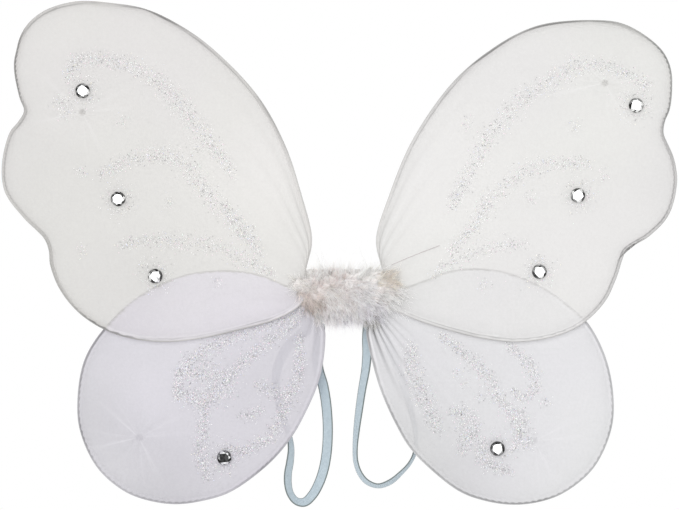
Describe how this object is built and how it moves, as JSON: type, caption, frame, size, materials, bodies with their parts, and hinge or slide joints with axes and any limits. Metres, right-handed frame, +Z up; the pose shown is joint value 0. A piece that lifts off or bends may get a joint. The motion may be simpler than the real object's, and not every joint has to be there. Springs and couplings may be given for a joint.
{
  "type": "fairy wings",
  "caption": "Butterfly-shaped costume wings: glittered net stretched over wire loops bound at a furry hub, with stick-on gems and elastic arm loops.",
  "frame": {"origin": "middle of the back patch, on its rear face, which rests on the wearer's back", "axes": "+Z up, the wings spread along X, +Y toward the wearer, and the decorated side faces -Y"},
  "size_m": [0.503, 0.0279, 0.3775],
  "materials": {
    "wire": "satin",
    "net": "satin",
    "fur": "matte",
    "tape": "matte",
    "felt": "matte",
    "elastic": "matte",
    "thread": "matte",
    "gem": "gloss"
  },
  "bodies": {
    "centre": {"back_patch": "felt", "centre_tape": "tape", "hub_wire_upper_top": "wire", "hub_wire_upper_bottom": "wire", "hub_wire_lower_top": "wire", "hub_wire_lower_bottom": "wire", "centre_fur": "fur", "left_strap_tab_inner": "elastic", "left_strap_tab_outer": "elastic", "right_strap_tab_inner": "elastic", "right_strap_tab_outer": "elastic"},
    "left_side": {"left_stem_tape": "tape", "left_stem_wire_upper_top": "wire", "left_stem_wire_upper_bottom": "wire", "left_stem_wire_lower_top": "wire", "left_stem_wire_lower_bottom": "wire", "left_fur_front": "fur", "left_fur_back": "fur"},
    "right_side": {"right_stem_tape": "tape", "right_stem_wire_upper_top": "wire", "right_stem_wire_upper_bottom": "wire", "right_stem_wire_lower_top": "wire", "right_stem_wire_lower_bottom": "wire", "right_fur_front": "fur", "right_fur_back": "fur"},
    "upper_left_wing": {"upper_left_wire": "wire", "upper_left_net": "net", "upper_left_tie": "thread", "upper_left_knot": "thread", "upper_left_gem_1": "gem", "upper_left_gem_2": "gem", "upper_left_gem_3": "gem"},
    "upper_right_wing": {"upper_right_wire": "wire", "upper_right_net": "net", "upper_right_tie": "thread", "upper_right_knot": "thread", "upper_right_gem_1": "gem", "upper_right_gem_2": "gem", "upper_right_gem_3": "gem"},
    "lower_left_wing": {"lower_left_wire": "wire", "lower_left_net": "net", "lower_left_tie": "thread", "lower_left_knot": "thread", "lower_left_gem_1": "gem"},
    "lower_right_wing": {"lower_right_wire": "wire", "lower_right_net": "net", "lower_right_tie": "thread", "lower_right_knot": "thread", "lower_right_gem_1": "gem"},
    "left_arm_loop": {"left_strap": "elastic"},
    "right_arm_loop": {"right_strap": "elastic"}
  },
  "joints": [
    {"name": "left_side_fold", "type": "hinge", "parent": "centre", "child": "left_side", "pos_m": [-0.013, -0.01125, 0], "axis": [0, 0, 1], "range_deg": [0, 70]},
    {"name": "upper_left_tilt", "type": "hinge", "parent": "left_side", "child": "upper_left_wing", "pos_m": [-0.024, -0.0135, 0.004], "axis": [0, 1, 0], "range_deg": [-8, 8]},
    {"name": "lower_left_tilt", "type": "hinge", "parent": "left_side", "child": "lower_left_wing", "pos_m": [-0.024, -0.009, -0.004], "axis": [0, 1, 0], "range_deg": [-8, 8]},
    {"name": "left_loop_swing", "type": "hinge", "parent": "centre", "child": "left_arm_loop", "pos_m": [-0.0226, -0.0023, -0.0235], "axis": [1, 0, 0], "range_deg": [0, 110]},
    {"name": "right_side_fold", "type": "hinge", "parent": "centre", "child": "right_side", "pos_m": [0.013, -0.01125, 0], "axis": [0, 0, -1], "range_deg": [0, 70]},
    {"name": "upper_right_tilt", "type": "hinge", "parent": "right_side", "child": "upper_right_wing", "pos_m": [0.024, -0.0135, 0.004], "axis": [0, -1, 0], "range_deg": [-8, 8]},
    {"name": "lower_right_tilt", "type": "hinge", "parent": "right_side", "child": "lower_right_wing", "pos_m": [0.024, -0.009, -0.004], "axis": [0, -1, 0], "range_deg": [-8, 8]},
    {"name": "right_loop_swing", "type": "hinge", "parent": "centre", "child": "right_arm_loop", "pos_m": [0.0226, -0.0023, -0.0235], "axis": [1, 0, 0], "range_deg": [0, 110]}
  ]
}
